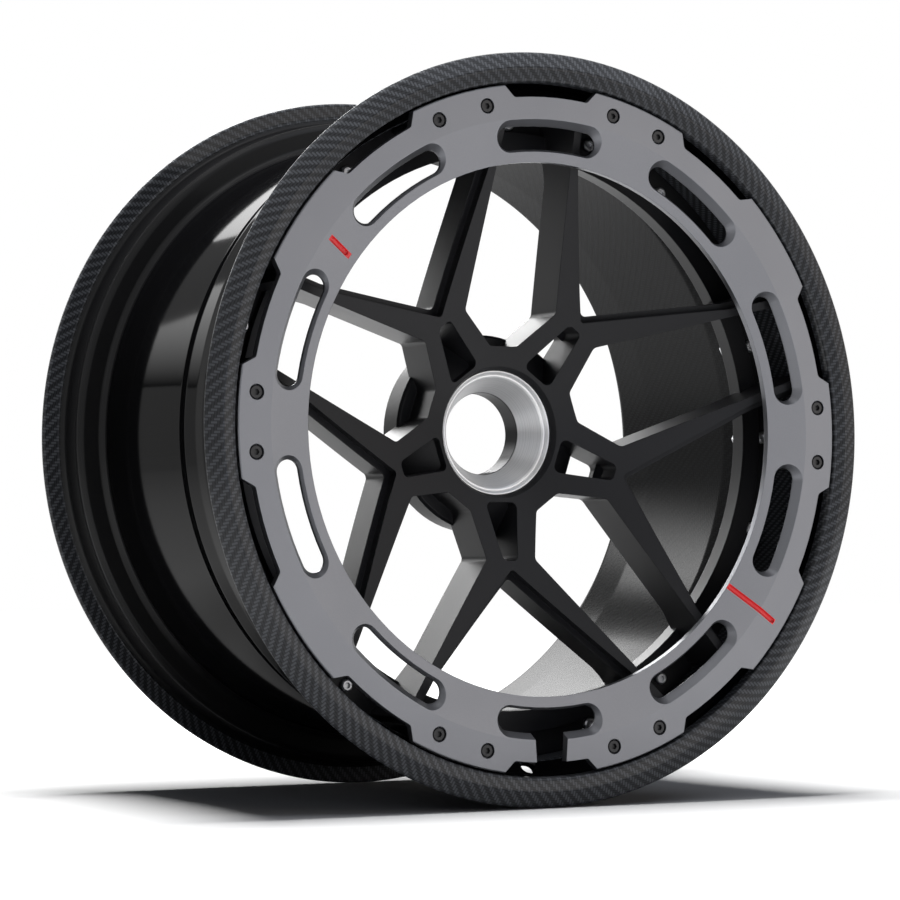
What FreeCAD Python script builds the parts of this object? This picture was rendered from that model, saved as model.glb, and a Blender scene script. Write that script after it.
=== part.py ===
import FreeCAD, Part
import math
import os

# A centre-lock road wheel of three main pieces: a moulded carbon barrel, a forged centre
# with five forked spokes bolted into it, and a flat cover ring in front of the spokes.
# The wheel spins about Y. The street side faces -Y and the origin is the middle of the wheel.

V = FreeCAD.Vector
AXIS = V(0, 1, 0)
os.makedirs("parts", exist_ok=True)

# Rim sizes: bead seat diameter, lip height and width between the lips of a 20 x 11.5 J rim.
BEAD_SEAT_DIAMETER = 512.8
LIP_HEIGHT = 17.3
LIP_WIDTH = 8.7
OVERALL_WIDTH = 309.4
LIP_R = BEAD_SEAT_DIAMETER / 2 + LIP_HEIGHT
SEAT_R = BEAD_SEAT_DIAMETER / 2
HALF_WIDTH = OVERALL_WIDTH / 2

# Barrel wall.
WALL = 6.5
LIP_CREST_DROP = 9.2
LIP_ROUND = 6.0
LIP_FACE_WIDTH = 19.3
LIP_BORE_R = LIP_R - LIP_FACE_WIDTH
SEAT_WIDTH = 20.0
SEAT_TAPER = math.tan(math.radians(5))
WELL_DROP = 21.4
WELL_R = SEAT_R - WELL_DROP
WELL_SLOPE = 4.0
WELL_FRONT_DEPTH = 124.0
REAR_BORE_LENGTH = 40.0
DROP_DEPTH = 44.5
DROP_WALL = 3.6

# Cover ring, which clears the lip, with its bolts and the bolts of the joint behind it.
RING_GAP = 4.4
RING_WIDTH = 56.2
RING_FLAT_WIDTH = 25.0
RING_BOLT_SET_IN = 13.2
RIM_BOLT_SET_IN = 8.4
RING_OUTER_R = LIP_BORE_R - RING_GAP
RING_INNER_R = RING_OUTER_R - RING_WIDTH
RING_CREASE_R = RING_OUTER_R - RING_FLAT_WIDTH
RING_BOLT_CIRCLE_R = RING_OUTER_R - RING_BOLT_SET_IN
RIM_BOLT_CIRCLE_R = RING_BOLT_CIRCLE_R - RIM_BOLT_SET_IN

# Joint of centre and barrel.
RIM_BOLT_COUNT = 20
RIM_BOLT_HEAD_R = 4.6
RIM_BOLT_HEAD_HEIGHT = 3.6
RIM_BOLT_SHANK_R = 3.0
RIM_NUT_FLATS = 10.0
RIM_NUT_COLLAR_R = 6.4
RIM_NUT_HEIGHT = 11.0
BOLT_END = 2.0
SOCKET_FLATS = 4.0
SOCKET_DEPTH = 2.0
HEAD_BEVEL = 1.2
HOLE_CLEARANCE = 0.2
LAND_DEPTH = 66.5
LAND_THICKNESS = 5.5
RAISED_STEP = 8.0
RAISED_OUTER_STEP = 6.0
RAISED_GAP = 1.3
FLANGE_INSET = 22.4
FLANGE_INNER_R = RIM_BOLT_CIRCLE_R - FLANGE_INSET
BARREL_FLANGE_THICKNESS = 16.0
BARREL_FLANGE_EDGE = 11.4
BARREL_FLANGE_INNER_R = RIM_BOLT_CIRCLE_R - BARREL_FLANGE_EDGE
FIT_GAP = 0.3

# Forged centre.
SPOKE_COUNT = 5
ARM_FRONT_GAP = 4.033
HUB_EDGE_R = 49.0
DISH_SLOPE = 0.341
SPOKE_DEPTH = 37.0
ARM_END_GAP = 5.2
HUB_PAD_R = 74.0
HUB_PAD_THICKNESS = 22.0
HUB_LENGTH = 45.5
WINDOW_HUB_HALF = 11.5
WINDOW_HUB_R = 63.9
WINDOW_SIDE_HALF = 38.8
WINDOW_SIDE_R = 88.5
WINDOW_END_HALF = 31.5
WINDOW_END_R = 189.2
FORK_R = 101.5
ARM_WIDTH = 6.3
ARM_TAPER_GAP = 13.0
ARM_TAPER_END_R = FLANGE_INNER_R - ARM_TAPER_GAP
LEDGE_DEPTH = 9.0
LEDGE_WIDTH = 5.0
POCKET_IN_R = 51.8
POCKET_OUT_R = 95.5
POCKET_IN_HALF = 13.5
POCKET_OUT_HALF = 6.0
POCKET_FLOOR = 7.0
POCKET_SLOPE = 0.7
SLIT_IN_R = 78.0
SLIT_OUT_R = 92.0
SLIT_FLARE = 0.66

# Centre-lock seat pressed into the hub.
SEAT_RING_R = 46.4
SEAT_RING_SET_BACK = 5.5
SEAT_RIM_WIDTH = 3.9
CONE_BORE_R = 30.7
CONE_LENGTH = 22.0
SEAT_RING_LENGTH = 25.0
SLEEVE_R = 37.0
PIN_COUNT = 5
PIN_CIRCLE_R = 58.0
PIN_HOLE_R = 7.5
PIN_HOLE_DEPTH = 16.0

# Cover ring details.
RING_FACE_DEPTH = 2.2
RING_DISH = 5.5
RING_THICKNESS = 6.5
SLOT_COUNT = 10
SLOT_SET_IN = 17.7
SLOT_WIDTH = 17.0
SLOT_HALF_ANGLE = 8.8
SLOT_BEVEL = 3.0
SLOT_BEVEL_DEPTH = 4.5
NOTCH_DEPTH = 9.4
NOTCH_HALF = 39.0
NOTCH_FLOOR_HALF = 30.6
NOTCH_ROUND = 3.5
VALVE_GAP_IN_HALF = 14.3
VALVE_GAP_OUT_HALF = 11.8
RING_BOLT_HALF_ANGLE = 5.0
RING_BOLT_PLACES = (0, 72, 108, 180, 252, 288)
RING_BOLT_HEAD_R = 4.8
RING_BOLT_HEAD_HEIGHT = 3.8
RING_BOLT_SUNK = 0.6
RING_BOLT_SHANK_R = 2.5
RING_BOLT_LENGTH = 16.0
COUNTERBORE_GAP = 0.8
STANDOFF_R = 4.4
ACCENT_R = 2.0
ACCENT_LONG_IN_GAP = 2.7
ACCENT_LONG_OUT_GAP = 11.5
ACCENT_SHORT_IN_GAP = 10.7
ACCENT_SHORT_OUT_GAP = 6.0
ACCENT_LONG_AT = 324.0
ACCENT_SHORT_AT = 144.0

# Valve.
VALVE_AT = 270.0
VALVE_HOLE_R = 5.75
VALVE_DEPTH = 35.5
VALVE_RISE = 5.0
VALVE_LEAN = 32.0

# Depths from the plane of the front lip, which lies at -HALF_WIDTH along Y.
RAISED_DEPTH = LAND_DEPTH - RAISED_STEP
RAISED_OUTER_R = RIM_BOLT_CIRCLE_R - RIM_BOLT_HEAD_R - RAISED_GAP
FLANGE_BACK = LAND_DEPTH + LAND_THICKNESS
BARREL_FLANGE_BACK = FLANGE_BACK + BARREL_FLANGE_THICKNESS
NUT_TOP = BARREL_FLANGE_BACK + RIM_NUT_HEIGHT
FLANGE_OUTER_R = RING_BOLT_CIRCLE_R + STANDOFF_R
JOINT_WALL_R = FLANGE_OUTER_R + FIT_GAP
VALVE_R = JOINT_WALL_R + VALVE_RISE
ARM_END_R = FLANGE_OUTER_R - ARM_END_GAP
SLOT_MID_R = RING_INNER_R + SLOT_SET_IN
ACCENT_LONG_IN_R = RING_INNER_R + ACCENT_LONG_IN_GAP
ACCENT_LONG_OUT_R = RING_OUTER_R - ACCENT_LONG_OUT_GAP
ACCENT_SHORT_IN_R = RING_INNER_R + ACCENT_SHORT_IN_GAP
ACCENT_SHORT_OUT_R = RING_CREASE_R - ACCENT_SHORT_OUT_GAP
RING_BACK = RING_FACE_DEPTH + RING_THICKNESS
HUB_FACE_DEPTH = RING_BACK + ARM_FRONT_GAP + DISH_SLOPE * (ARM_END_R - HUB_EDGE_R)
HUB_BACK = HUB_FACE_DEPTH + HUB_LENGTH
SEAT_FRONT = HUB_FACE_DEPTH + SEAT_RING_SET_BACK
SEAT_BACK = SEAT_FRONT + SEAT_RING_LENGTH


def at(r, depth):
    """A point of a turned profile: radius along X, depth behind the front lip along Y."""
    return V(r, depth - HALF_WIDTH, 0)


def turned(points):
    """Solid turned about the wheel axis from a closed row of radius and depth pairs."""
    wire = Part.makePolygon([at(*p) for p in points] + [at(*points[0])])
    return Part.Face(wire).revolve(V(0, 0, 0), AXIS, 360)


def rod(r, angle, radius, front, back):
    """Round bar along the axis at polar place r, angle, from one depth to another."""
    a = math.radians(angle)
    foot = V(r * math.cos(a), front - HALF_WIDTH, r * math.sin(a))
    return Part.makeCylinder(radius, back - front, foot, AXIS)


def spun(shape, angle):
    """Copy turned about the wheel axis, counted from +X towards +Z."""
    copy = shape.copy()
    copy.rotate(V(0, 0, 0), AXIS, -angle)
    return copy


def plan_prism(wire_edges, front, back):
    """Prism along the axis over a closed outline in the XZ plane."""
    face = Part.Face(Part.Wire(wire_edges))
    face.translate(V(0, front - HALF_WIDTH, 0))
    return face.extrude(V(0, back - front, 0))


def plan_polygon(points):
    """Straight edges through points given as X and Z."""
    corners = [V(x, 0, z) for x, z in points]
    ends = corners[1:] + corners[:1]
    return [Part.LineSegment(a, b).toShape() for a, b in zip(corners, ends)]


def round_uprights(prism, radius, r_min, r_max):
    """Round the edges that run along the axis and lie between two radii."""
    chosen = []
    for edge in prism.Edges:
        a = edge.Vertexes[0].Point
        b = edge.Vertexes[-1].Point
        r = math.hypot(a.x, a.z)
        upright = abs(a.y - b.y) > 1 and math.hypot(a.x - b.x, a.z - b.z) < 0.01
        if upright and r_min < r < r_max:
            chosen.append(edge)
    return prism.makeFillet(radius, chosen)


def polar(r, angle):
    a = math.radians(angle)
    return V(r * math.cos(a), 0, r * math.sin(a))


def arc_slot(mid_r, width, half_angle, middle):
    """Edges of a slot along a circle with half-round ends."""
    r1 = mid_r - width / 2
    r2 = mid_r + width / 2
    a1 = middle - half_angle
    a2 = middle + half_angle
    cap = math.degrees(width / 2 / mid_r)
    outer = Part.Arc(polar(r2, a1), polar(r2, middle), polar(r2, a2)).toShape()
    left = Part.Arc(polar(r2, a2), polar(mid_r, a2 + cap), polar(r1, a2)).toShape()
    inner = Part.Arc(polar(r1, a2), polar(r1, middle), polar(r1, a1)).toShape()
    right = Part.Arc(polar(r1, a1), polar(mid_r, a1 - cap), polar(r2, a1)).toShape()
    return [outer, left, inner, right]


def dish_depth(r):
    """Depth of the spokes' front cone at a radius."""
    return HUB_FACE_DEPTH - DISH_SLOPE * (r - HUB_EDGE_R)


def ring_depth(r):
    """Depth of the cover ring's front face at a radius."""
    inside = max(0.0, RING_CREASE_R - r)
    return RING_FACE_DEPTH + RING_DISH * inside / (RING_CREASE_R - RING_INNER_R)


rim_bolt_angles = [360 / RIM_BOLT_COUNT * k for k in range(RIM_BOLT_COUNT)]
ring_bolt_angles = []
for place in RING_BOLT_PLACES:
    ring_bolt_angles.append(place - RING_BOLT_HALF_ANGLE)
    ring_bolt_angles.append(place + RING_BOLT_HALF_ANGLE)

# Barrel: one closed wall with a lip at each end, bead seats, a wide well and an inward
# flange that carries the forged centre.
CREST_R = LIP_R - LIP_CREST_DROP
SEAT_IN_R = SEAT_R - SEAT_TAPER * SEAT_WIDTH
seat_end = LIP_WIDTH + SEAT_WIDTH
hump_r = SEAT_IN_R + 0.8
back = OVERALL_WIDTH
well_end = back - seat_end - 12
bay_r = RIM_BOLT_CIRCLE_R + RIM_NUT_COLLAR_R + 1.7
bay_end = NUT_TOP + 9
well_front_r = WELL_R + WELL_SLOPE
ring_bay_r = RING_OUTER_R + 1.2
round_r = LIP_R - LIP_ROUND * 0.3
outside = [
    (LIP_BORE_R, 2.2),
    (CREST_R, 0),
    (LIP_R - LIP_ROUND, 0.7),
    (round_r, 2.4),
    (LIP_R, LIP_ROUND),
    (LIP_R - 0.8, LIP_WIDTH),
    (SEAT_R + 5, LIP_WIDTH + 0.5),
    (SEAT_R, LIP_WIDTH + 3),
    (SEAT_IN_R, seat_end),
    (hump_r, seat_end + 2.5),
    (hump_r, seat_end + 5),
    (JOINT_WALL_R + DROP_WALL, DROP_DEPTH),
    (JOINT_WALL_R + DROP_WALL, FLANGE_BACK),
    (bay_r + WALL, BARREL_FLANGE_BACK),
    (bay_r + WALL, bay_end),
    (well_front_r, max(WELL_FRONT_DEPTH, bay_end + 5)),
    (WELL_R, well_end),
    (WELL_R + 3.5, well_end + 4),
    (SEAT_IN_R - 3, back - seat_end - 6.5),
    (hump_r, back - seat_end - 4),
    (hump_r, back - seat_end - 1.5),
    (SEAT_IN_R, back - seat_end),
    (SEAT_R, back - LIP_WIDTH - 3),
    (SEAT_R + 5, back - LIP_WIDTH - 0.5),
    (LIP_R - 0.8, back - LIP_WIDTH),
    (LIP_R, back - LIP_ROUND),
    (round_r, back - 2.4),
    (LIP_R - LIP_ROUND, back - 0.7),
    (CREST_R, back),
    (LIP_BORE_R, back - 1),
]
inside = [
    (LIP_BORE_R - 1.5, back - 9),
    (SEAT_IN_R - WALL, back - seat_end),
    (WELL_R - WALL, well_end - 2),
    (WELL_R - WALL, well_end - 2 - REAR_BORE_LENGTH),
    (well_front_r - WALL, max(WELL_FRONT_DEPTH, bay_end + 5)),
    (bay_r, bay_end),
    (bay_r, BARREL_FLANGE_BACK),
    (BARREL_FLANGE_INNER_R, BARREL_FLANGE_BACK),
    (BARREL_FLANGE_INNER_R, FLANGE_BACK),
    (JOINT_WALL_R, FLANGE_BACK),
    (JOINT_WALL_R, DROP_DEPTH - DROP_WALL),
    (ring_bay_r - 0.8, seat_end + 1.3),
    (ring_bay_r, RING_BACK + 3),
    (ring_bay_r + 0.8, 4.5),
]
barrel = turned(outside + inside)
for angle in rim_bolt_angles:
    barrel = barrel.cut(rod(RIM_BOLT_CIRCLE_R, angle, RIM_BOLT_SHANK_R + HOLE_CLEARANCE,
                            FLANGE_BACK - 1, BARREL_FLANGE_BACK + 1))
valve_a = math.radians(VALVE_AT)
lean_out = math.sin(math.radians(VALVE_LEAN))
valve_axis = V(math.cos(valve_a) * lean_out, math.cos(math.radians(VALVE_LEAN)), math.sin(valve_a) * lean_out)
valve_middle = polar(VALVE_R, VALVE_AT) + V(0, VALVE_DEPTH - HALF_WIDTH, 0)
barrel = barrel.cut(Part.makeCylinder(VALVE_HOLE_R, 40, valve_middle - valve_axis * 20, valve_axis))

# Forged centre: a dished disc, cut by five six-sided windows, five fork openings with a
# ledge along their flanks, and five pockets in the stems.
rear_in = dish_depth(HUB_PAD_R) + SPOKE_DEPTH
rear_out_r = FLANGE_INNER_R - 16
dish = turned([
    (SLEEVE_R, HUB_FACE_DEPTH),
    (HUB_EDGE_R, HUB_FACE_DEPTH),
    (ARM_END_R, dish_depth(ARM_END_R)),
    (ARM_END_R, LAND_DEPTH),
    (FLANGE_INNER_R, LAND_DEPTH),
    (rear_out_r, dish_depth(rear_out_r) + SPOKE_DEPTH),
    (HUB_PAD_R, rear_in),
    (SLEEVE_R, rear_in),
])
cut_front = RING_BACK
cut_back = HUB_BACK + 5
far = ARM_END_R + 30
lean = (WINDOW_END_HALF - WINDOW_SIDE_HALF) / (WINDOW_END_R - WINDOW_SIDE_R)
far_half = WINDOW_SIDE_HALF + lean * (far - WINDOW_SIDE_R)
window = plan_prism(plan_polygon([
    (-WINDOW_HUB_HALF, WINDOW_HUB_R),
    (WINDOW_HUB_HALF, WINDOW_HUB_R),
    (WINDOW_SIDE_HALF, WINDOW_SIDE_R),
    (far_half, far),
    (-far_half, far),
    (-WINDOW_SIDE_HALF, WINDOW_SIDE_R),
]), cut_front, cut_back)
window = round_uprights(window, 5.0, WINDOW_HUB_R - 5, WINDOW_SIDE_R + 20)

# The fork flank of an arm runs from the fork to a point one arm width off the window's
# flank, then along it. Both are found in the frame of the stem, half a spoke turn away.
turn = math.radians(180 / SPOKE_COUNT)
side = lean * (ARM_TAPER_END_R - WINDOW_SIDE_R) + WINDOW_SIDE_HALF
lean_len = math.hypot(1, lean)
taper_x = side + ARM_WIDTH / lean_len
taper_z = ARM_TAPER_END_R + lean * ARM_WIDTH / lean_len
stem_u = -taper_x * math.cos(turn) + taper_z * math.sin(turn)
stem_v = taper_x * math.sin(turn) + taper_z * math.cos(turn)
along_u = -lean * math.cos(turn) + math.sin(turn)
along_v = lean * math.sin(turn) + math.cos(turn)
reach = 80 / lean_len


def fork_outline(set_in):
    """Fork opening below a stem that points down, narrowed on both flanks."""
    flank = math.hypot(stem_u, stem_v - FORK_R)
    step_u = set_in * (stem_v - FORK_R) / flank
    apex = FORK_R + set_in * flank / stem_u
    knee = (stem_u - step_u, stem_v + set_in * stem_u / flank)
    end = (knee[0] + along_u * reach, knee[1] + along_v * reach)
    right = [knee, end]
    left = [(-end[0], end[1]), (-knee[0], knee[1])]
    return plan_polygon([(u, -v) for u, v in [(0, apex)] + right + left])


fork = round_uprights(plan_prism(fork_outline(LEDGE_WIDTH), cut_front, cut_back),
                      4.0, FORK_R - 5, FORK_R + 30)
fork_top = round_uprights(plan_prism(fork_outline(0), cut_front, cut_back),
                          3.0, FORK_R - 5, FORK_R + 30)
ledge_zone = turned([
    (HUB_PAD_R, cut_front),
    (far, cut_front),
    (far, dish_depth(far) + LEDGE_DEPTH),
    (HUB_PAD_R, dish_depth(HUB_PAD_R) + LEDGE_DEPTH),
])
fork_top = fork_top.common(ledge_zone)

# Stem pocket: a plan that narrows outwards and a floor that slopes back to an open slit.
pocket_plan = plan_prism(plan_polygon([
    (-POCKET_IN_HALF, -POCKET_IN_R),
    (-POCKET_OUT_HALF, -POCKET_OUT_R),
    (POCKET_OUT_HALF, -POCKET_OUT_R),
    (POCKET_IN_HALF, -POCKET_IN_R),
]), cut_front, cut_back)
pocket_plan = round_uprights(pocket_plan, 4.5, POCKET_IN_R - 5, POCKET_OUT_R + 5)
floor_in = HUB_FACE_DEPTH + POCKET_FLOOR
floor_slit = floor_in + POCKET_SLOPE * (SLIT_IN_R - POCKET_IN_R)
floor_out = dish_depth(SLIT_OUT_R) + SPOKE_DEPTH * 0.65
floor_end = dish_depth(POCKET_OUT_R) + POCKET_FLOOR
side_view = [
    (POCKET_IN_R - 6, cut_front),
    (POCKET_IN_R - 6, floor_in),
    (POCKET_IN_R, floor_in),
    (SLIT_IN_R, floor_slit),
    (SLIT_IN_R, cut_back),
    (SLIT_OUT_R + SLIT_FLARE * (cut_back - floor_out), cut_back),
    (SLIT_OUT_R, floor_out),
    (POCKET_OUT_R + 6, floor_end),
    (POCKET_OUT_R + 6, cut_front),
]
side_points = [V(-POCKET_IN_HALF - 5, d - HALF_WIDTH, -r) for r, d in side_view]
side_face = Part.Face(Part.makePolygon(side_points + side_points[:1]))
pocket = side_face.extrude(V(2 * POCKET_IN_HALF + 10, 0, 0)).common(pocket_plan)

cuts = []
for k in range(SPOKE_COUNT):
    step = 360 / SPOKE_COUNT * k
    cuts += [spun(window, step), spun(fork, step), spun(fork_top, step), spun(pocket, step)]
centre = dish.cut(cuts)

flange = turned([
    (FLANGE_INNER_R, RAISED_DEPTH),
    (RAISED_OUTER_R, LAND_DEPTH - RAISED_OUTER_STEP),
    (RAISED_OUTER_R, LAND_DEPTH),
    (FLANGE_OUTER_R, LAND_DEPTH),
    (FLANGE_OUTER_R, FLANGE_BACK),
    (FLANGE_INNER_R, FLANGE_BACK),
])
hub_pad = turned([
    (SLEEVE_R, HUB_BACK - HUB_PAD_THICKNESS),
    (HUB_PAD_R - 2, HUB_BACK - HUB_PAD_THICKNESS),
    (HUB_PAD_R, HUB_BACK - HUB_PAD_THICKNESS + 2),
    (HUB_PAD_R, HUB_BACK),
    (SLEEVE_R, HUB_BACK),
])
centre = centre.fuse([flange, hub_pad])
seat_bore_r = SEAT_RING_R + FIT_GAP / 2
hub_bore = turned([
    (0, HUB_FACE_DEPTH - 5),
    (HUB_EDGE_R, HUB_FACE_DEPTH - 5),
    (HUB_EDGE_R, HUB_FACE_DEPTH),
    (seat_bore_r, HUB_FACE_DEPTH + 4),
    (seat_bore_r, SEAT_BACK),
    (SLEEVE_R + FIT_GAP / 2, SEAT_BACK),
    (SLEEVE_R + FIT_GAP / 2, HUB_BACK + 1),
    (0, HUB_BACK + 1),
])
holes = [hub_bore]
for angle in rim_bolt_angles:
    holes.append(rod(RIM_BOLT_CIRCLE_R, angle, RIM_BOLT_HEAD_R + 1, RAISED_DEPTH - 40, LAND_DEPTH))
    holes.append(rod(RIM_BOLT_CIRCLE_R, angle, RIM_BOLT_SHANK_R + HOLE_CLEARANCE,
                     LAND_DEPTH - 1, FLANGE_BACK + 1))
for k in range(PIN_COUNT):
    angle = VALVE_AT + 360 / PIN_COUNT * (k + 0.5)
    holes.append(rod(PIN_CIRCLE_R, angle, PIN_HOLE_R, HUB_BACK - PIN_HOLE_DEPTH, HUB_BACK + 1))
centre = centre.cut(holes).removeSplitter()

# Centre-lock seat: a turned ring with a cone for the wheel nut and a sleeve to the rear.
seat_in_r = SEAT_RING_R - SEAT_RIM_WIDTH
seat = turned([
    (seat_in_r, SEAT_FRONT + 0.6),
    (seat_in_r + 0.8, SEAT_FRONT),
    (SEAT_RING_R - 0.8, SEAT_FRONT),
    (SEAT_RING_R, SEAT_FRONT + 0.8),
    (SEAT_RING_R, SEAT_BACK),
    (SLEEVE_R, SEAT_BACK),
    (SLEEVE_R, HUB_BACK),
    (CONE_BORE_R, HUB_BACK),
    (CONE_BORE_R, SEAT_FRONT + CONE_LENGTH),
])

# Cover ring with slots, edge notches, the valve opening, bolt recesses and two accent grooves.
ring = turned([
    (RING_INNER_R, ring_depth(RING_INNER_R)),
    (RING_CREASE_R, RING_FACE_DEPTH),
    (RING_OUTER_R - 0.8, RING_FACE_DEPTH),
    (RING_OUTER_R, RING_FACE_DEPTH + 0.8),
    (RING_OUTER_R, RING_BACK),
    (RING_CREASE_R, RING_BACK),
    (RING_INNER_R, ring_depth(RING_INNER_R) + RING_THICKNESS - 1.5),
])
ring_cuts = []
notch_r = RING_OUTER_R - NOTCH_DEPTH
notch_top = V(NOTCH_HALF, 0, math.sqrt(RING_OUTER_R ** 2 - NOTCH_HALF ** 2))
notch_floor = V(NOTCH_FLOOR_HALF, 0, math.sqrt(notch_r ** 2 - NOTCH_FLOOR_HALF ** 2))
notch_right = [notch_floor, notch_top, V(NOTCH_HALF + 8, 0, RING_OUTER_R + 6)]
notch_left = [V(-p.x, 0, p.z) for p in reversed(notch_right)]
notch_path = notch_right + notch_left
notch_edges = [Part.LineSegment(p, q).toShape() for p, q in zip(notch_path, notch_path[1:])]
notch_edges.append(Part.Arc(notch_path[-1], V(0, 0, notch_r), notch_path[0]).toShape())
notch = round_uprights(plan_prism(notch_edges, 0, RING_BACK + 6), NOTCH_ROUND, notch_r - 1, RING_OUTER_R + 1)
slot_depth = ring_depth(SLOT_MID_R)
slot = plan_prism(arc_slot(SLOT_MID_R, SLOT_WIDTH, SLOT_HALF_ANGLE, 90), 0, RING_BACK + 8)
mouth_front = Part.Wire(arc_slot(SLOT_MID_R, SLOT_WIDTH + 4 * SLOT_BEVEL, SLOT_HALF_ANGLE, 90))
mouth_front.translate(V(0, slot_depth - SLOT_BEVEL_DEPTH - HALF_WIDTH, 0))
mouth_back = Part.Wire(arc_slot(SLOT_MID_R, SLOT_WIDTH, SLOT_HALF_ANGLE, 90))
mouth_back.translate(V(0, slot_depth + SLOT_BEVEL_DEPTH - HALF_WIDTH, 0))
slot_mouth = Part.makeLoft([mouth_front, mouth_back], True, True)
for k in range(SLOT_COUNT):
    step = 360 / SLOT_COUNT * k
    ring_cuts += [spun(notch, step), spun(slot, step), spun(slot_mouth, step)]
ring_cuts.append(spun(plan_prism(plan_polygon([
    (-VALVE_GAP_IN_HALF, SLOT_MID_R),
    (VALVE_GAP_IN_HALF, SLOT_MID_R),
    (VALVE_GAP_OUT_HALF, RING_OUTER_R),
    (-VALVE_GAP_OUT_HALF, RING_OUTER_R),
]), 0, RING_BACK + 6), VALVE_AT - 90))
ring_seat = RING_FACE_DEPTH + RING_BOLT_SUNK + RING_BOLT_HEAD_HEIGHT
for angle in ring_bolt_angles:
    ring_cuts.append(rod(RING_BOLT_CIRCLE_R, angle, RING_BOLT_HEAD_R + COUNTERBORE_GAP, 0, ring_seat))
    ring_cuts.append(rod(RING_BOLT_CIRCLE_R, angle, RING_BOLT_SHANK_R + HOLE_CLEARANCE,
                         0, RING_BACK + 1))


def accent(r_in, r_out, angle):
    """Round-bottomed groove along a radius, following the ring's front face."""
    a = polar(r_in, angle) + V(0, ring_depth(r_in) - HALF_WIDTH, 0)
    b = polar(r_out, angle) + V(0, ring_depth(r_out) - HALF_WIDTH, 0)
    bar = Part.makeCylinder(ACCENT_R, (b - a).Length, a, b - a)
    return bar.fuse([Part.makeSphere(ACCENT_R, a), Part.makeSphere(ACCENT_R, b)])


ring_cuts.append(accent(ACCENT_LONG_IN_R, RING_CREASE_R, ACCENT_LONG_AT))
ring_cuts.append(accent(RING_CREASE_R, ACCENT_LONG_OUT_R, ACCENT_LONG_AT))
ring_cuts.append(accent(ACCENT_SHORT_IN_R, ACCENT_SHORT_OUT_R, ACCENT_SHORT_AT))
ring = ring.cut(ring_cuts).removeSplitter()

# Fasteners.


def hexagon(r, angle, flats, front, back):
    """Six-sided bar along the axis at polar place r, angle, measured across its flats."""
    corner_r = flats / math.sqrt(3)
    corners = [(corner_r * math.cos(math.radians(60 * k)), corner_r * math.sin(math.radians(60 * k)))
               for k in range(6)]
    bar = plan_prism(plan_polygon(corners), front, back)
    bar.translate(polar(r, angle))
    return bar


def socket_bolt(r, angle, head_r, head_front, head_back, shank_r, end, bevel):
    """Bolt with a round head, bevelled at its rim, and a six-sided socket."""
    head = rod(r, angle, head_r, head_front, head_back)
    front_edges = [e for e in head.Edges if e.BoundBox.YMax < head_front - HALF_WIDTH + 0.01]
    head = head.makeChamfer(bevel, front_edges)
    bolt = head.fuse(rod(r, angle, shank_r, head_back - 1, end)).removeSplitter()
    return bolt.cut(hexagon(r, angle, SOCKET_FLATS, head_front - 1, head_front + SOCKET_DEPTH))


rim_bolts = []
rim_nuts = []
for angle in rim_bolt_angles:
    rim_bolts.append(socket_bolt(RIM_BOLT_CIRCLE_R, angle, RIM_BOLT_HEAD_R, LAND_DEPTH - RIM_BOLT_HEAD_HEIGHT,
                                 LAND_DEPTH, RIM_BOLT_SHANK_R, NUT_TOP + BOLT_END, HEAD_BEVEL))
    nut = hexagon(RIM_BOLT_CIRCLE_R, angle, RIM_NUT_FLATS, BARREL_FLANGE_BACK, NUT_TOP)
    collar = rod(RIM_BOLT_CIRCLE_R, angle, RIM_NUT_COLLAR_R, BARREL_FLANGE_BACK, BARREL_FLANGE_BACK + 1.5)
    thread = rod(RIM_BOLT_CIRCLE_R, angle, RIM_BOLT_SHANK_R + HOLE_CLEARANCE / 2,
                 BARREL_FLANGE_BACK - 1, NUT_TOP + 1)
    rim_nuts.append(nut.fuse(collar).cut(thread).removeSplitter())

ring_bolts = []
standoffs = []
for angle in ring_bolt_angles:
    ring_bolts.append(socket_bolt(RING_BOLT_CIRCLE_R, angle, RING_BOLT_HEAD_R,
                                  ring_seat - RING_BOLT_HEAD_HEIGHT, ring_seat,
                                  RING_BOLT_SHANK_R, ring_seat + RING_BOLT_LENGTH, HEAD_BEVEL / 2))
    post = rod(RING_BOLT_CIRCLE_R, angle, STANDOFF_R, RING_BACK, LAND_DEPTH)
    thread = rod(RING_BOLT_CIRCLE_R, angle, RING_BOLT_SHANK_R + HOLE_CLEARANCE / 2,
                 RING_BACK - 1, ring_seat + RING_BOLT_LENGTH + 1)
    standoffs.append(post.cut(thread))

pieces = {
    "barrel": barrel,
    "forged_centre": centre,
    "centre_lock_seat": seat,
    "cover_ring": ring,
    "rim_bolts": Part.makeCompound(rim_bolts),
    "rim_nuts": Part.makeCompound(rim_nuts),
    "ring_bolts": Part.makeCompound(ring_bolts),
    "ring_standoffs": Part.makeCompound(standoffs),
}
for name, shape in pieces.items():
    shape.exportStep("parts/" + name + ".step")
    print(name, len(shape.Solids), shape.isValid(), round(shape.Volume / 1000, 1), shape.BoundBox)
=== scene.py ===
# %% [markdown]
# # A centre-lock wheel with a carbon barrel
# The wheel has a moulded carbon barrel, a forged centre with five forked spokes and a satin
# grey cover ring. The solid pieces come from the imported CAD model, which is loaded first and
# stays fixed. Blender adds the finishes and remakes the woven and the turned surfaces.

# %% Load the frame
import math

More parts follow.
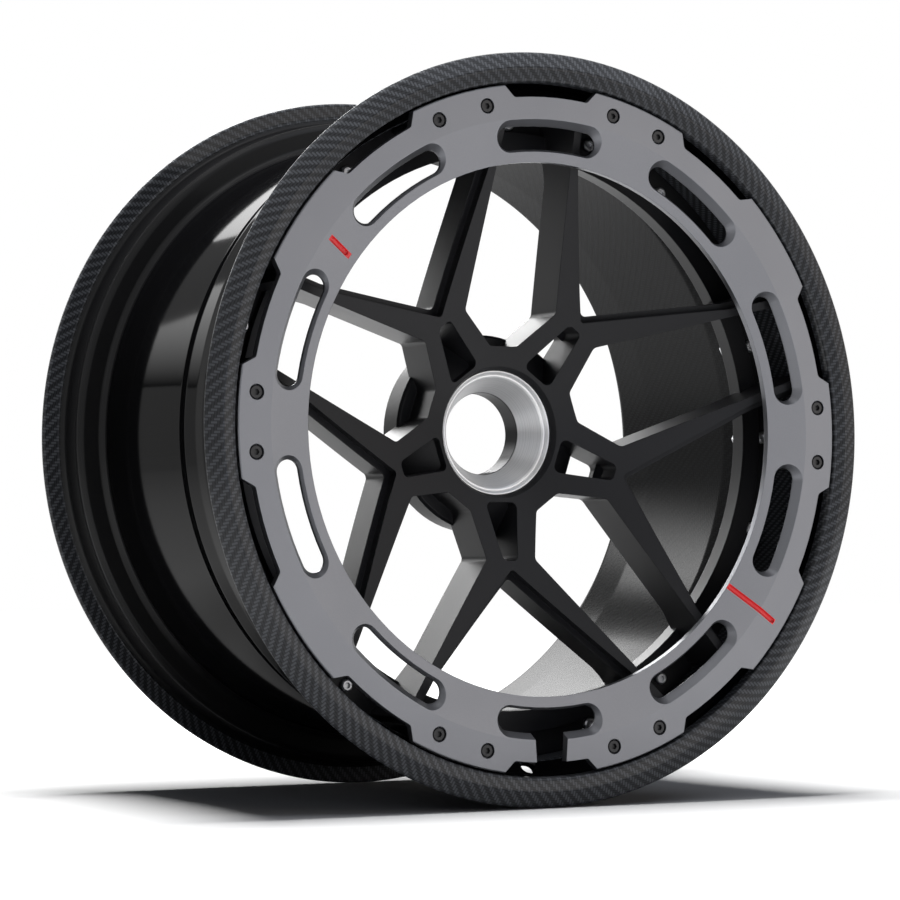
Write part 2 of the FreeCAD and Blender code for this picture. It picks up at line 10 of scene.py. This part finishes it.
import bpy
import numpy as np
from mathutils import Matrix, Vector


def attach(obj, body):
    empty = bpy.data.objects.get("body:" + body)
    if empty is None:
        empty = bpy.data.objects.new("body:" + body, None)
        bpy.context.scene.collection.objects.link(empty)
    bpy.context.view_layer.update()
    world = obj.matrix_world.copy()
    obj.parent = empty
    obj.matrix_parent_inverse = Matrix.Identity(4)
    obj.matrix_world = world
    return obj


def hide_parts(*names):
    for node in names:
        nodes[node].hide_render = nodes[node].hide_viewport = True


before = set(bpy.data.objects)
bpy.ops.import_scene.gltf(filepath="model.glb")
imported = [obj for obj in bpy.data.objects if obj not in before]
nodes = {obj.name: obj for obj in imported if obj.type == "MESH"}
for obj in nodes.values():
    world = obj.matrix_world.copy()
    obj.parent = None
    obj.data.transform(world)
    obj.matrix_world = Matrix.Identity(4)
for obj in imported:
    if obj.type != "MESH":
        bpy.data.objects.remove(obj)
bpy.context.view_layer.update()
print("CAD nodes:", sorted(nodes))

# %% [markdown]
# ## Colours and shader nodes
# Colours are picked as sRGB hex values, as a paint chart gives them, and changed to linear
# light once. One small function adds any shader node with its settings and links.

# %% Colour and node helpers


def colour(hex_code, level=1.0):
    """Linear RGBA of an sRGB hex code, scaled by level."""
    srgb = [int(hex_code[i:i + 2], 16) / 255 for i in (1, 3, 5)]
    linear = [c / 12.92 if c <= 0.04045 else ((c + 0.055) / 1.055) ** 2.4 for c in srgb]
    return [c * level for c in linear] + [1.0]


def add(tree, kind, settings=None, links=None):
    """A shader node; settings are sockets or properties, links are sockets fed by others."""
    node = tree.nodes.new(kind)
    for key, value in (settings or {}).items():
        if isinstance(key, int) or key in node.inputs:
            node.inputs[key].default_value = value
        else:
            setattr(node, key, value)
    for key, source in (links or {}).items():
        tree.links.new(source, node.inputs[key])
    return node


def math_node(tree, operation, a, b=0.0):
    """Value of one sum, product or other step of arithmetic on sockets or numbers."""
    node = add(tree, "ShaderNodeMath", {"operation": operation})
    for index, value in enumerate((a, b)):
        if isinstance(value, (int, float)):
            node.inputs[index].default_value = value
        else:
            tree.links.new(value, node.inputs[index])
    return node.outputs[0]


def new_material(name):
    """Empty node material with an output node."""
    material = bpy.data.materials.new(name)
    material.use_nodes = True
    material.node_tree.nodes.clear()
    return material, material.node_tree, add(material.node_tree, "ShaderNodeOutputMaterial")


def wear(object_, material):
    """Gives an object one material."""
    object_.data.materials.clear()
    object_.data.materials.append(material)


print("white is", colour("#ffffff")[:3])

# %% [markdown]
# ## Surfaces from grids
# Every new surface here is a grid of points worked out by a formula with two parameters: how
# far round and how far along. The grid becomes a mesh with a UV map in millimetres, so that a
# weave can be laid on it at its true scale.

# %% Grid to mesh


def grid_piece(name, points, uv_mm, wrap_u=True, wrap_v=False):
    """Mesh of quads over an array of shape (along, round, 3), wrapped where asked. The UV
    array has one more row or column in each wrapped direction."""
    rows, columns = points.shape[:2]
    i, j = np.meshgrid(np.arange(rows if wrap_v else rows - 1),
                       np.arange(columns if wrap_u else columns - 1), indexing="ij")
    corner = np.stack([np.stack([i, j], -1), np.stack([i, j + 1], -1),
                       np.stack([i + 1, j + 1], -1), np.stack([i + 1, j], -1)], 2)
    index = (corner[..., 0] % rows) * columns + corner[..., 1] % columns
    mesh = bpy.data.meshes.new(name)
    mesh.from_pydata(points.reshape(-1, 3), [], index.reshape(-1, 4).tolist())
    layer = mesh.uv_layers.new(name="mm")
    layer.data.foreach_set("uv", uv_mm[corner[..., 0], corner[..., 1]].ravel())
    mesh.polygons.foreach_set("use_smooth", np.ones(len(mesh.polygons), bool))
    mesh.update()
    piece = bpy.data.objects.new(name, mesh)
    bpy.context.collection.objects.link(piece)
    return piece


def rounded(points, radius_mm):
    """Softens the corners of a closed row of points. Each corner becomes a short parabola that
    starts and ends one radius away along its sides, or at 0.4 of a short side, with a further
    point just beyond each end, so that the flats between corners stay flat when shaded."""
    before, after = np.roll(points, 1, axis=0) - points, np.roll(points, -1, axis=0) - points
    ends = []
    for side in (before, after):
        length = np.linalg.norm(side, axis=1, keepdims=True)
        ends.append(side / length * np.minimum(radius_mm, 0.4 * length))
    t = np.array([0.0, 1 / 3, 2 / 3, 1.0])[None, :, None]
    curve = points[:, None] + (1 - t) ** 2 * ends[0][:, None] + t ** 2 * ends[1][:, None]
    return np.concatenate([points[:, None] + 1.18 * ends[0][:, None], curve,
                           points[:, None] + 1.18 * ends[1][:, None]], 1).reshape(-1, 2)


def lathe(name, profile_mm, steps, round_units, radius_mm):
    """Closed profile of radius and depth pairs, softened and turned about the axle: X and Z
    are the radius times the cosine and sine of the turning angle, Y is the depth. Returns the
    piece and the length of its profile in millimetres."""
    soft = rounded(np.array(profile_mm), radius_mm)
    closed = np.concatenate([soft, soft[:1]])
    along = np.concatenate([[0], np.cumsum(np.linalg.norm(np.diff(closed, axis=0), axis=1))])
    turn = np.linspace(0, 2 * np.pi, steps + 1)
    r, depth = soft[:, :1], soft[:, 1:]
    angle = turn[:-1]
    points = np.stack([r * np.cos(angle), depth - HALF + 0 * angle, r * np.sin(angle)], -1)
    uv = np.stack(np.broadcast_arrays(turn / (2 * np.pi) * round_units, along[:, None]), -1)
    return grid_piece(name, points / 1000, uv, wrap_v=True), round(float(along[-1]))


# %% [markdown]
# ## The carbon barrel
# The real barrel is laid up from carbon cloth in a mould and then clear-coated, so its wall has
# soft corners everywhere. The profile is turned round the axle. Both lips and the inside show
# the cloth; the tyre side is plain gloss black. Four materials therefore share one mesh.

# %% Barrel surface
HALF = 154.7        # half of the width over the lips, mm
TOW = 2.1           # width of one tow of the cloth, mm
TOWS_ROUND = 776    # a multiple of four, so that the twill meets itself
ROUND_STEPS = 320
EDGE_RADIUS = 1.5   # softening of the moulded corners, mm

barrel_profile = [
    (252.6, 2.2), (261.5, 0.0), (272.4, 4.4), (273.7, 7.0),
    (272.9, 8.8), (261.4, 9.2), (257.4, 10.6), (256.3, 13.2), (254.65, 28.7),
    (255.4, 31.2), (255.4, 33.7), (246.2, 43.4), (245.1, 46), (245.1, 72), (243, 88),
    (243, 107), (239.2, 124),
    (235, 266), (235.2, 269.5), (238.5, 272.9), (251.6, 274.2), (255.4, 276.5),
    (255.4, 279.2), (254.65, 281), (256.3, 296.2), (257.4, 298.8),
    (261.4, 300.2), (272.9, 300.6), (273.7, 302.8), (272.3, 306.2), (268.7, 308.6),
    (264.5, 309.4), (254.4, 308.4), (252.9, 300.4), (248.15, 280.7), (229.5, 267.5),
    (228.5, 265), (228.5, 226.7), (232.5, 124), (236.5, 107.7), (236.5, 88),
    (217, 88), (217, 72), (241.5, 72),
    (241.5, 42), (250, 30.4), (251.2, 11.7), (251.6, 3.4),
]
barrel, profile_mm = lathe("barrel_skin", barrel_profile, ROUND_STEPS, TOWS_ROUND * TOW,
                           EDGE_RADIUS)
print("barrel skin", len(barrel.data.polygons), "faces, profile", profile_mm, "mm long")

# %% [markdown]
# The valve leaves the tyre through a slanted hole in the step behind the front lip. A round bar
# along the hole is taken away from the skin, once, before any finish goes on.

# %% Valve hole
VALVE_AT = Vector((0, -117.33, -247.67)) / 1000
VALVE_ALONG = Vector((0, 0.848048, -0.529919))
VALVE_RADIUS = 0.00575
BAR_REACH = 0.012
BAR_SIDES = 32
turn, reach = np.meshgrid(np.linspace(0, 2 * np.pi, BAR_SIDES + 1)[:-1], [-BAR_REACH, BAR_REACH])
side = np.array(VALVE_ALONG.cross(Vector((1, 0, 0))))
outward = np.cos(turn)[..., None] * np.array([1.0, 0, 0]) + np.sin(turn)[..., None] * side
bar = np.array(VALVE_AT) + reach[..., None] * np.array(VALVE_ALONG) + VALVE_RADIUS * outward
ring = np.arange(BAR_SIDES)
after = np.roll(ring, -1)
walls = np.stack([ring, after, after + BAR_SIDES, ring + BAR_SIDES], 1).tolist()
ends = [ring[::-1].tolist(), (ring + BAR_SIDES).tolist()]
bar_mesh = bpy.data.meshes.new("valve_bar")
bar_mesh.from_pydata(bar.reshape(-1, 3), [], walls + ends)
bar_mesh.update()
cutter = bpy.data.objects.new("valve_bar", bar_mesh)
bpy.context.collection.objects.link(cutter)
hole = barrel.modifiers.new("valve", "BOOLEAN")
hole.object = cutter
hole.solver = "EXACT"
graph = bpy.context.evaluated_depsgraph_get()
whole = bpy.data.meshes.new_from_object(barrel.evaluated_get(graph))
barrel.modifiers.clear()
before = len(barrel.data.polygons)
barrel.data = whole
bpy.data.objects.remove(cutter)
print("faces before and after the hole:", before, len(whole.polygons))

# %% [markdown]
# ## Clear-coated carbon cloth
# A two-by-two twill passes each tow over two and under two, shifted by one at every row, which
# draws the slanted lines. The tows that run one way are painted lighter, a painted sheen, and
# the others darker; each tow is painted lighter on its crown and darker at its edges, a painted
# highlight and painted shade. The weave lies under a smooth gloss coat, so only the coat
# reflects sharply. The cloth inside the barrel is darker and its coat is less even, so its
# highlight is broad.

# %% Carbon material


def carbon_material(name, dark, light, relief, finish):
    """Twill in steps of one tow along the UV map in millimetres. A cell is over where the
    difference of its two tow numbers, counted in fours, is 0 or 1. Each tow is crowned."""
    material, tree, output = new_material(name)
    place = add(tree, "ShaderNodeUVMap", {"uv_map": "mm"})
    split = add(tree, "ShaderNodeSeparateXYZ", links={"Vector": place.outputs[0]})
    across = math_node(tree, "DIVIDE", split.outputs["X"], TOW)
    length = math_node(tree, "DIVIDE", split.outputs["Y"], TOW)
    cell = math_node(tree, "SUBTRACT", math_node(tree, "FLOOR", across),
                     math_node(tree, "FLOOR", length))
    over = math_node(tree, "LESS_THAN", math_node(tree, "FLOORED_MODULO", cell, 4.0), 1.5)
    crown = []
    for direction in (across, length):
        centred = math_node(tree, "SUBTRACT", math_node(tree, "FRACT", direction), 0.5)
        crown.append(math_node(tree, "SUBTRACT", 1.0, math_node(tree, "MULTIPLY", math_node(
            tree, "MULTIPLY", centred, centred), 3.2)))
    height = add(tree, "ShaderNodeMix", {"data_type": "FLOAT"},
                 {"Factor": over, 2: crown[1], 3: crown[0]}).outputs[0]
    # painted sheen and shade: over tows and tow crowns are painted lighter, tow edges darker
    painted_shading = math_node(tree, "MULTIPLY", height, math_node(tree, "ADD", 0.35, math_node(
        tree, "MULTIPLY", over, 0.65)))
    cloth = add(tree, "ShaderNodeMix", {"data_type": "RGBA", "A": colour(dark), "B": colour(light)},
                {"Factor": painted_shading})
    bump = add(tree, "ShaderNodeBump", {"Strength": relief, "Distance": 0.0002}, {"Height": height})
    shader = add(tree, "ShaderNodeBsdfPrincipled", finish,
                 {"Base Color": cloth.outputs[2], "Normal": bump.outputs[0]})
    tree.links.new(shader.outputs[0], output.inputs[0])
    return material


def lacquer_material(name, low, high, finish):
    """Smooth paint whose colour wanders a little over patches of some 12 mm."""
    material, tree, output = new_material(name)
    place = add(tree, "ShaderNodeTexCoord").outputs["Object"]
    patch = add(tree, "ShaderNodeTexNoise", {"Scale": 80.0, "Detail": 2.0}, {"Vector": place})
    tint = add(tree, "ShaderNodeMix", {"data_type": "RGBA", "A": colour(low), "B": colour(high)},
               {"Factor": patch.outputs["Fac"]})
    shader = add(tree, "ShaderNodeBsdfPrincipled", finish, {"Base Color": tint.outputs[2]})
    tree.links.new(shader.outputs[0], output.inputs[0])
    return material


def barrel_zone(r, depth):
    """0 on the lips and front wall, 1 on the tyre side, 2 inside, 3 on the rear bead seat: the
    wall's middle radius at each depth parts the tyre side from the inside."""
    middle = np.interp(depth, [0, 44, 72, 90, 264, 268.7, 272.7, 274.2, 281, 310],
                       [253.5, 243.5, 243, 240, 231.5, 233, 237.6, 245, 251.5, 254])
    tyre = (depth > 11) & (depth < 299.6) & (r > middle)
    return np.where(tyre, np.where(depth > 267, 3, 1), np.where((depth > 89) & (depth < 300), 2, 0))


# Clear-coated cloth: the slanted weave shows as a painted sheen on the lighter tows, under a sharp
# thin shine.
wear(barrel, carbon_material("gloss carbon twill", "#020203", "#46484c", 0.25, {
    "Roughness": 0.45, "Specular IOR Level": 0.05, "Coat Weight": 0.25, "Coat Roughness": 0.06}))
# Lacquer over the tyre side: deep black with a sharp, faint mirror image.
barrel.data.materials.append(lacquer_material("gloss black lacquer", "#060607", "#09090a", {
    "Roughness": 0.45, "Specular IOR Level": 0.0, "Coat Weight": 0.14, "Coat Roughness": 0.06}))
# Dark cloth inside: the weave is hardly seen and the shine is broad.
barrel.data.materials.append(carbon_material("dark carbon twill", "#050506", "#1e1f21", 0.0, {
    "Roughness": 0.45, "Specular IOR Level": 0.0, "Coat Weight": 0.2, "Coat Roughness": 0.16}))
# Lacquer on the rear bead seat, with a slightly softer shine than the well.
barrel.data.materials.append(lacquer_material("gloss black bead seat", "#060607", "#0b0b0c", {
    "Roughness": 0.45, "Specular IOR Level": 0.1, "Coat Weight": 0.12, "Coat Roughness": 0.1}))
centres = np.empty(len(barrel.data.polygons) * 3)
barrel.data.polygons.foreach_get("center", centres)
x, y, z = centres.reshape(-1, 3).T * 1000
zone = barrel_zone(np.hypot(x, z), y + HALF).astype(np.int32)
barrel.data.polygons.foreach_set("material_index", zone)
barrel.data.update()
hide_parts("barrel")
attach(barrel, "root")
print("faces on lips, tyre side, inside, bead seat:", np.bincount(zone).tolist())

# %% [markdown]
# ## Painted and turned metals
# The forged centre is coated satin black, the cover ring satin grey with a fine metallic grain.
# A rounded-edge normal softens the machined corners as paint does. The red accents are the
# two milled grooves, filled with enamel, found by their direction from the axle.

# %% Metal materials


def object_place(tree):
    """Object coordinates in millimetres."""
    place = add(tree, "ShaderNodeTexCoord").outputs["Object"]
    scaled = add(tree, "ShaderNodeVectorMath", {"operation": "SCALE", "Scale": 1000.0}, {0: place})
    return scaled.outputs[0]


def grain(tree, place, scale_per_mm, strength, distance_mm, edge_mm):
    """Normal with rounded edges and a fine bump of noise."""
    edge = add(tree, "ShaderNodeBevel", {"samples": 6, "Radius": edge_mm / 1000})
    noise = add(tree, "ShaderNodeTexNoise", {"Scale": scale_per_mm, "Detail": 3.0},
                {"Vector": place})
    bump = add(tree, "ShaderNodeBump", {"Strength": strength, "Distance": distance_mm / 1000},
               {"Height": noise.outputs["Fac"], "Normal": edge.outputs[0]})
    return noise.outputs["Fac"], bump.outputs[0]


GRAIN_PER_MM = 1.6    # coarser than real paint grain, which would be too fine to show
PATCH_PER_MM = 0.02   # slow change of gloss, over some 50 mm


def metal_material(name, low, high, rough_low, rough_high, metallic, edge_mm, level=0.5):
    """Coated or bare metal whose colour and gloss vary a little over a fine noise."""
    material, tree, output = new_material(name)
    place = object_place(tree)
    fac, normal = grain(tree, place, GRAIN_PER_MM, 0.15, 0.05, edge_mm)
    broad = add(tree, "ShaderNodeTexNoise", {"Scale": PATCH_PER_MM, "Detail": 2.0},
                {"Vector": place})
    tint = add(tree, "ShaderNodeMix", {"data_type": "RGBA", "A": colour(low), "B": colour(high)},
               {"Factor": fac})
    rough = add(tree, "ShaderNodeMapRange", {"To Min": rough_low, "To Max": rough_high},
                {"Value": broad.outputs["Fac"]})
    shader = add(tree, "ShaderNodeBsdfPrincipled",
                 {"Metallic": metallic, "Specular IOR Level": level},
                 {"Base Color": tint.outputs[2], "Roughness": rough.outputs[0], "Normal": normal})
    tree.links.new(shader.outputs[0], output.inputs[0])
    return material, tree, shader, place, tint


# Sprayed and baked coat on the forging: near black, with a soft dull shine on its edges.
satin_black = metal_material(
    "satin black coat", "#18181a", "#202022", 0.36, 0.44, 0.0, 0.9, level=0.15)[0]
wear(nodes["forged_centre"], satin_black)

# Grey metallic coat on the ring: even, with a broad satin shine.
grey, grey_tree, grey_shader, grey_place, grey_tint = metal_material(
    "satin titanium grey", "#626367", "#6c6d71", 0.36, 0.44, 0.9, 0.6)


RING_MIDDLE = -144.5     # depth that parts the ring's front half from its back, mm
GROOVE_HALF_WIDTH = 2.3
RING_METALLIC = 0.9


def groove_mask(tree, place, angle_deg, r_in, r_out, half_width):
    """One inside a radial strip on the front half of the ring, zero elsewhere."""
    turned = add(tree, "ShaderNodeVectorRotate",
                 {"rotation_type": "Y_AXIS", "Angle": math.radians(angle_deg)}, {"Vector": place})
    split = add(tree, "ShaderNodeSeparateXYZ", links={"Vector": turned.outputs[0]})
    x, y, z = split.outputs
    inside = math_node(tree, "LESS_THAN", math_node(tree, "ABSOLUTE", z), half_width)
    inside = math_node(tree, "MULTIPLY", inside, math_node(tree, "GREATER_THAN", x, r_in))
    inside = math_node(tree, "MULTIPLY", inside, math_node(tree, "LESS_THAN", y, RING_MIDDLE))
    return math_node(tree, "MULTIPLY", inside, math_node(tree, "LESS_THAN", x, r_out))


red = math_node(grey_tree, "MAXIMUM",
                groove_mask(grey_tree, grey_place, 324, 194.0, 241.0, GROOVE_HALF_WIDTH),
                groove_mask(grey_tree, grey_place, 144, 200.0, 221.5, GROOVE_HALF_WIDTH))
painted = add(grey_tree, "ShaderNodeMix", {"data_type": "RGBA", "B": colour("#d81e24")},
              {"Factor": red, "A": grey_tint.outputs[2]})
grey_tree.links.new(painted.outputs[2], grey_shader.inputs["Base Color"])
bare = math_node(grey_tree, "SUBTRACT", RING_METALLIC,
                 math_node(grey_tree, "MULTIPLY", red, RING_METALLIC))
grey_tree.links.new(bare, grey_shader.inputs["Metallic"])
wear(nodes["cover_ring"], grey)

# Plated steel shines brightly; black oxide leaves a dark, slightly oily face.
bright = metal_material("bright steel", "#a6a7aa", "#bcbdc0", 0.3, 0.4, 0.8, 0.25)[0]
black_bolt = metal_material("black oxide steel", "#101012", "#18181a", 0.32, 0.42, 0.4, 0.3)[0]
for name in ("rim_bolts", "rim_nuts"):
    wear(nodes[name], bright)
for name in ("ring_bolts", "ring_standoffs"):
    wear(nodes[name], black_bolt)
print("materials:", len(bpy.data.materials))

# %% [markdown]
# ## The centre-lock seat
# The nut of the axle pulls against a hard steel cone. It is finished on a lathe, so its lines
# run round it: the tool leaves fine grooves and the light smears across them. A small groove
# parts the rim from the cone, and the bore behind is painted near black as painted shade.

# %% Seat surface and turned steel
seat_profile = [
    (46.45, 82.6), (46.45, 106.95), (37.05, 106.95), (37.05, 121.95),
    (30.75, 121.95), (30.75, 104.6), (31.6, 103.2), (40.9, 85.8),
    (42.2, 84.4), (43.2, 84.3), (43.5, 85.0), (43.8, 84.2), (45.4, 82.2), (46.1, 82.1),
]
SEAT_STEPS = 256
SEAT_EDGE_RADIUS = 0.4
seat, seat_mm = lathe("seat_turned", seat_profile, SEAT_STEPS, SEAT_STEPS, SEAT_EDGE_RADIUS)


def turned_material():
    """Steel with lines round the axle: a noise of the radius plus the depth, some three to a
    millimetre, which is coarser than real tool marks so that it shows. It smears the light
    across the lines. Below a radius of 31 mm the bore is dark."""
    material, tree, output = new_material("turned steel")
    place = object_place(tree)
    split = add(tree, "ShaderNodeSeparateXYZ", links={0: place})
    flat = add(tree, "ShaderNodeVectorMath", {"operation": "MULTIPLY", 1: (1, 0, 1)}, {0: place})
    length = add(tree, "ShaderNodeVectorMath", {"operation": "LENGTH"}, {0: flat.outputs[0]})
    radius = length.outputs["Value"]
    lines = add(tree, "ShaderNodeTexNoise", {"noise_dimensions": "1D", "Scale": 3.0, "Detail": 4.0},
                {"W": math_node(tree, "ADD", radius, split.outputs["Y"])}).outputs["Fac"]
    tint = add(tree, "ShaderNodeMix",
               {"data_type": "RGBA", "A": colour("#a8a9ab"), "B": colour("#dededf")},
               {"Factor": lines})
    # painted shade: below a radius of 31 mm the bore is painted near black (#101012)
    deep = add(tree, "ShaderNodeMapRange", {"From Min": 30.9, "From Max": 31.3}, {"Value": radius})
    painted_shading = add(tree, "ShaderNodeMix", {"data_type": "RGBA", "A": colour("#101012")},
                {"Factor": deep.outputs[0], "B": tint.outputs[2]})
    around = add(tree, "ShaderNodeTangent", {"direction_type": "RADIAL", "axis": "Y"})
    bump = add(tree, "ShaderNodeBump", {"Strength": 0.12, "Distance": 0.0001}, {"Height": lines})
    shader = add(tree, "ShaderNodeBsdfPrincipled",
                 {"Metallic": 0.9, "Roughness": 0.32, "Anisotropic": 0.98,
                  "Anisotropic Rotation": 0.25},
                 {"Base Color": painted_shading.outputs[2], "Tangent": around.outputs[0],
                  "Normal": bump.outputs[0]})
    tree.links.new(shader.outputs[0], output.inputs[0])
    return material


wear(seat, turned_material())
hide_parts("centre_lock_seat")
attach(seat, "root")
print("seat", len(seat.data.polygons), "faces, profile", seat_mm, "mm long")

# %% [markdown]
# ## Camera, floor and light
# The camera stands to the left of the axle and a little below it, as the photograph does. The
# wheel rests on a white floor that fades into a white surround. Large soft lamps give the broad
# highlights of a studio.

# %% Camera
LIP_RADIUS = 0.2737
CAMERA_AT = Vector((-1.16607, -2.09115, -0.09434))
TARGET = Vector((-0.0853, -0.1547, -0.0169))
camera_data = bpy.data.cameras.new("camera")
camera_data.sensor_width = 36.0
camera_data.lens = 125.186
camera = bpy.data.objects.new("camera", camera_data)
bpy.context.collection.objects.link(camera)
camera.location = CAMERA_AT
camera.rotation_mode = "QUATERNION"
camera.rotation_quaternion = (TARGET - CAMERA_AT).to_track_quat("-Z", "Y")
bpy.context.scene.camera = camera
print("camera distance", round((TARGET - CAMERA_AT).length, 3), "m")

# %% [markdown]
# The floor is white board. Near the wheel it shows the true shadow of the lamp above; further
# off it glows for the camera, so that it runs into the white surround with no horizon. Mirrors
# and glass see the same glow, so the metal shows the white floor too.

# %% Floor


def seen_directly(tree):
    """One for rays from the camera, a mirror or glass, zero for rays that carry soft light."""
    path = add(tree, "ShaderNodeLightPath").outputs
    mirror = math_node(tree, "MAXIMUM", path["Is Glossy Ray"], path["Is Transmission Ray"])
    return math_node(tree, "MAXIMUM", path["Is Camera Ray"], mirror)


floor_uv = np.stack(np.meshgrid(np.linspace(-8, 8, 17), np.linspace(-8, 8, 17)), -1)
floor_points = np.concatenate([floor_uv, np.full(floor_uv.shape[:2] + (1,), -LIP_RADIUS)], -1)
floor = grid_piece("floor", floor_points, floor_uv, wrap_u=False)
floor_material, tree, output = new_material("white board")
place = add(tree, "ShaderNodeTexCoord").outputs["Object"]
flat = add(tree, "ShaderNodeVectorMath", {"operation": "MULTIPLY", 1: (1, 1, 0)}, {0: place})
away = add(tree, "ShaderNodeVectorMath", {"operation": "LENGTH"}, {0: flat.outputs[0]})
glow_level = add(tree, "ShaderNodeMapRange",
                 {"From Min": 0.36, "From Max": 0.62, "interpolation_type": "SMOOTHSTEP"},
                 {"Value": away.outputs["Value"]})
board = add(tree, "ShaderNodeBsdfDiffuse", {"Color": colour("#c8c8c8")})
glow = add(tree, "ShaderNodeEmission", {"Color": colour("#ffffff")},
           {"Strength": glow_level.outputs[0]})
both = add(tree, "ShaderNodeAddShader", links={0: board.outputs[0], 1: glow.outputs[0]})
shown = add(tree, "ShaderNodeMixShader",
            links={0: seen_directly(tree), 1: board.outputs[0], 2: both.outputs[0]})
tree.links.new(shown.outputs[0], output.inputs[0])
wear(floor, floor_material)
print("floor height", -LIP_RADIUS, "m")

# %% [markdown]
# The surround is white to the camera and in mirrors, and adds hardly any soft light. Two tall
# screens behind the wheel, bright at the top and fading downwards, draw the long highlights on
# the barrel, one outside and one inside. They and a dim one at the right show in mirrors only.

# %% Surround and screens
world = bpy.data.worlds.new("surround")
bpy.context.scene.world = world
world.use_nodes = True
tree = world.node_tree
tree.nodes.clear()
around = add(tree, "ShaderNodeBackground", {"Color": colour("#f0f4ff"), "Strength": 0.035})
behind = add(tree, "ShaderNodeBackground", {"Color": colour("#ffffff"), "Strength": 1.0})
mixed = add(tree, "ShaderNodeMixShader", links={0: seen_directly(tree), 1: around.outputs[0],
                                                2: behind.outputs[0]})
tree.links.new(mixed.outputs[0], add(tree, "ShaderNodeOutputWorld").inputs[0])


def screen(name, middle, aim, width, height, bottom, top, tint="#ffffff"):
    """Flat glowing screen that faces a point, its light rising from bottom to top."""
    middle = Vector(middle)
    facing = (Vector(aim) - middle).normalized()
    across = facing.cross(Vector((0, 0, 1))).normalized()
    rise = across.cross(facing)
    u, v = np.meshgrid([-0.5, 0.5], [-0.5, 0.5])
    points = (np.array(middle) + u[..., None] * width * np.array(across)
              + v[..., None] * height * np.array(rise))
    sheet = grid_piece(name, points, np.stack([u, v + 0.5], -1), wrap_u=False)
    material, tree, output = new_material(name + " light")
    place = add(tree, "ShaderNodeUVMap", {"uv_map": "mm"}).outputs[0]
    split = add(tree, "ShaderNodeSeparateXYZ", links={0: place})
    level = add(tree, "ShaderNodeMapRange", {"To Min": bottom, "To Max": top},
                {"Value": split.outputs["Y"]})
    light = add(tree, "ShaderNodeEmission", {"Color": colour(tint)}, {"Strength": level.outputs[0]})
    tree.links.new(light.outputs[0], output.inputs[0])
    wear(sheet, material)
    sheet.visible_camera = False
    sheet.visible_diffuse = False


def lamp(name, place, aim, width, height, watts, tint="#ffffff", mirrored=True):
    """Rectangular soft lamp, left out of mirror rays where asked."""
    data = bpy.data.lights.new(name, "AREA")
    data.shape = "RECTANGLE"
    data.size = width
    data.size_y = height
    data.energy = watts
    data.color = colour(tint)[:3]
    object_ = bpy.data.objects.new(name, data)
    bpy.context.collection.objects.link(object_)
    object_.location = place
    object_.visible_glossy = mirrored
    object_.rotation_mode = "QUATERNION"
    object_.rotation_quaternion = (Vector(aim) - Vector(place)).to_track_quat("-Z", "Y")


screen("rear_left_screen", (-1.15, 2.5, 1.07), (-1.15, 0, 1.07), 0.7, 1.26, 0.0, 18.0)
screen("rear_right_screen", (0.45, 2.5, 1.07), (0.45, 0, 1.07), 1.2, 1.26, 0.0, 22.0)
screen("right_screen", (2.6, -0.3, 0.35), (0, -0.3, 0.35), 2.2, 1.6, 0.8, 1.1, "#fff6ee")
lamp("overhead", (-0.1, 0.0, 2.4), (-0.1, 0, 0), 1.0, 0.7, 150, mirrored=False)
lamp("right front", (1.9, -2.8, 0.4), (0, 0, 0), 1.8, 1.4, 14, "#fff8f2")
lamp("high front", (1.2, -1.5, 2.4), (0, 0, 0), 1.8, 1.8, 14, "#eaf1ff")
lamp("front", (-0.1, -3.2, 0.1), (0, 0, 0), 0.8, 0.9, 4, "#dce7ff")
lamp("high", (-0.3, -0.7, 2.2), (0, 0, 0), 1.0, 1.0, 6)
lamp("left front", (-2.4, -1.6, 1.2), (0, 0, 0), 1.2, 1.0, 2, "#eef3ff")
scene = bpy.context.scene
scene.view_settings.view_transform = "Standard"
